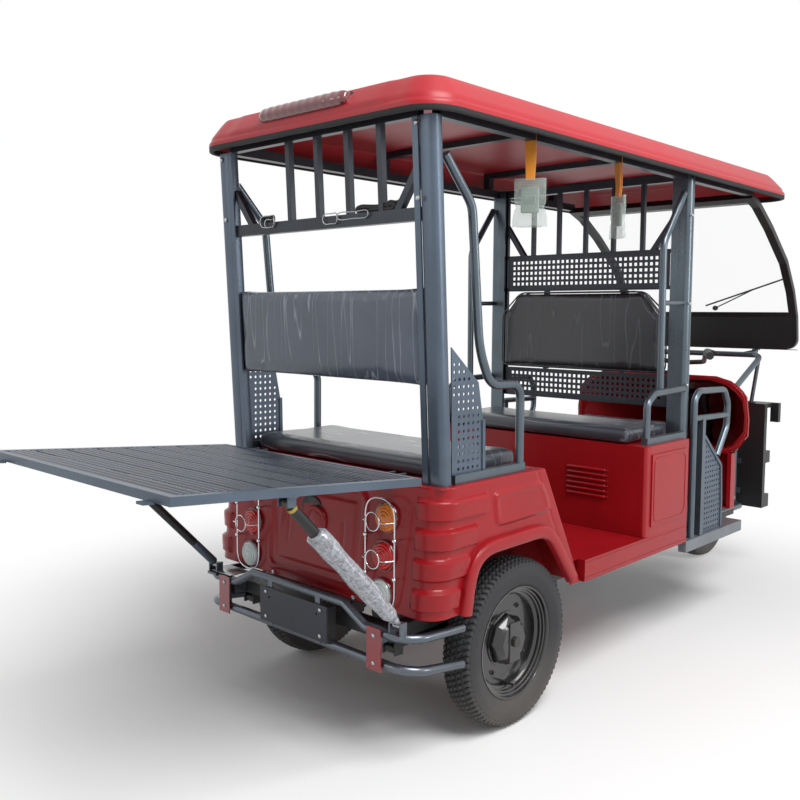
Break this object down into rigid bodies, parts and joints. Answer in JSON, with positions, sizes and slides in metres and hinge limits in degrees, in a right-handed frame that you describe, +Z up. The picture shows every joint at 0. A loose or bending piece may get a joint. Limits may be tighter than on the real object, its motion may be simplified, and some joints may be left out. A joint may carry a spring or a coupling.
{
  "type": "auto_rickshaw",
  "caption": "Electric passenger rickshaw with facing benches, pressed red body and roof on grey tube frames, and a slatted luggage carrier folded down behind.",
  "frame": {"origin": "on the ground, in the middle of the footprint", "axes": "+X to the vehicle's right, +Y forwards, +Z up"},
  "size_m": [1, 3.5826, 1.796],
  "materials": {
    "body_red": "gloss",
    "roof_red": "gloss",
    "frame_grey": "satin",
    "deck_grey": "satin",
    "floor_grey": "satin",
    "chassis_black": "satin",
    "wheel_black": "satin",
    "tyre": "matte",
    "seat_charcoal": "satin",
    "lens_red": "gloss",
    "lens_clear": "gloss",
    "guard_wire": "polished",
    "reflector_red": "gloss",
    "plate_dark": "satin",
    "black_plastic": "satin",
    "screen_glass": "clear",
    "strap_orange": "satin",
    "battery_grey": "matte",
    "strut_black": "gloss",
    "rod_steel": "satin"
  },
  "bodies": {
    "chassis": {"battery_pack": "battery_grey", "bench_arm_rails": "frame_grey", "bench_backrest": "seat_charcoal", "bench_cushion": "seat_charcoal", "box_floor": "floor_grey", "bumper_plates": "reflector_red", "chassis_frame": "chassis_black", "driver_floor": "floor_grey", "driver_seat": "seat_charcoal", "driver_seat_base": "chassis_black", "floor_pan": "floor_grey", "front_cowl": "body_red", "front_hoops": "frame_grey", "hanging_handles": "strap_orange", "headlamps": "lens_clear", "hinge_stands": "frame_grey", "lamp_guards": "guard_wire", "lamp_panels": "black_plastic", "leaf_springs": "chassis_black", "partition_frame": "frame_grey", "partition_meshes": "frame_grey", "partition_posts": "frame_grey", "rear_axle": "chassis_black", "rear_backrest": "seat_charcoal", "rear_body": "body_red", "rear_bumper": "frame_grey", "rear_cushion": "seat_charcoal", "rear_grille": "frame_grey", "rear_plate": "plate_dark", "rear_posts": "frame_grey", "rear_side_frames": "frame_grey", "roof_frame": "frame_grey", "roof_lamp_bar": "lens_red", "roof_shell": "roof_red", "seat_box": "body_red", "side_panels": "frame_grey", "step_frames": "frame_grey", "step_panels": "frame_grey", "tail_lamps": "lens_red", "windscreen_frame": "black_plastic", "windscreen_glass": "screen_glass"},
    "steering": {"fork": "chassis_black", "handlebar": "chassis_black", "front_mudguard": "chassis_black"},
    "front_wheel": {"front_tyre": "tyre", "front_rim": "wheel_black"},
    "rear_wheel_left": {"rear_tyre_left": "tyre", "rear_rim_left": "wheel_black"},
    "rear_wheel_right": {"rear_tyre_right": "tyre", "rear_rim_right": "wheel_black"},
    "carrier": {"carrier_frame": "frame_grey", "carrier_deck": "deck_grey"},
    "cylinder_left": {"strut_cylinder_left": "strut_black"},
    "cylinder_right": {"strut_cylinder_right": "strut_black"},
    "rod_left": {"strut_rod_left": "rod_steel"},
    "rod_right": {"strut_rod_right": "rod_steel"}
  },
  "joints": [
    {"name": "rear_spin_left", "type": "hinge", "parent": "chassis", "child": "rear_wheel_left", "pos_m": [-0.415, -0.64592, 0.245], "axis": [-1, 0, 0], "continuous": true},
    {"name": "rear_spin_right", "type": "hinge", "parent": "chassis", "child": "rear_wheel_right", "pos_m": [0.415, -0.64592, 0.245], "axis": [-1, 0, 0], "continuous": true},
    {"name": "steer", "type": "hinge", "parent": "chassis", "child": "steering", "pos_m": [0, 1.52408, 0.245], "axis": [0, -0.309, 0.9511], "range_deg": [-35, 35]},
    {"name": "front_spin", "type": "hinge", "parent": "steering", "child": "front_wheel", "pos_m": [0, 1.52408, 0.245], "axis": [-1, 0, 0], "continuous": true},
    {"name": "carrier_fold", "type": "hinge", "parent": "chassis", "child": "carrier", "pos_m": [0, -1.01392, 0.757], "axis": [-1, 0, 0], "range_deg": [0, 82]},
    {"name": "cylinder_swing_left", "type": "hinge", "parent": "carrier", "child": "cylinder_left", "pos_m": [-0.4, -1.45429, 0.76959], "axis": [-1, 0, 0], "range_deg": [-36.6, 0.5]},
    {"name": "rod_slide_left", "type": "slide", "parent": "cylinder_left", "child": "rod_left", "axis": [0, 0.6992, -0.7149], "range_m": [0, 0.2787]},
    {"name": "cylinder_swing_right", "type": "hinge", "parent": "carrier", "child": "cylinder_right", "pos_m": [0.4, -1.45429, 0.76959], "axis": [-1, 0, 0], "range_deg": [-36.6, 0.5]},
    {"name": "rod_slide_right", "type": "slide", "parent": "cylinder_right", "child": "rod_right", "axis": [0, 0.6992, -0.7149], "range_m": [0, 0.2787]}
  ],
  "couplings": [
    {"joint": "cylinder_swing_left", "follows": "carrier_fold", "ratio": -0.4361},
    {"joint": "rod_slide_left", "follows": "carrier_fold", "m_per_rad": 0.19334},
    {"joint": "cylinder_swing_right", "follows": "carrier_fold", "ratio": -0.4361},
    {"joint": "rod_slide_right", "follows": "carrier_fold", "m_per_rad": 0.19334}
  ]
}
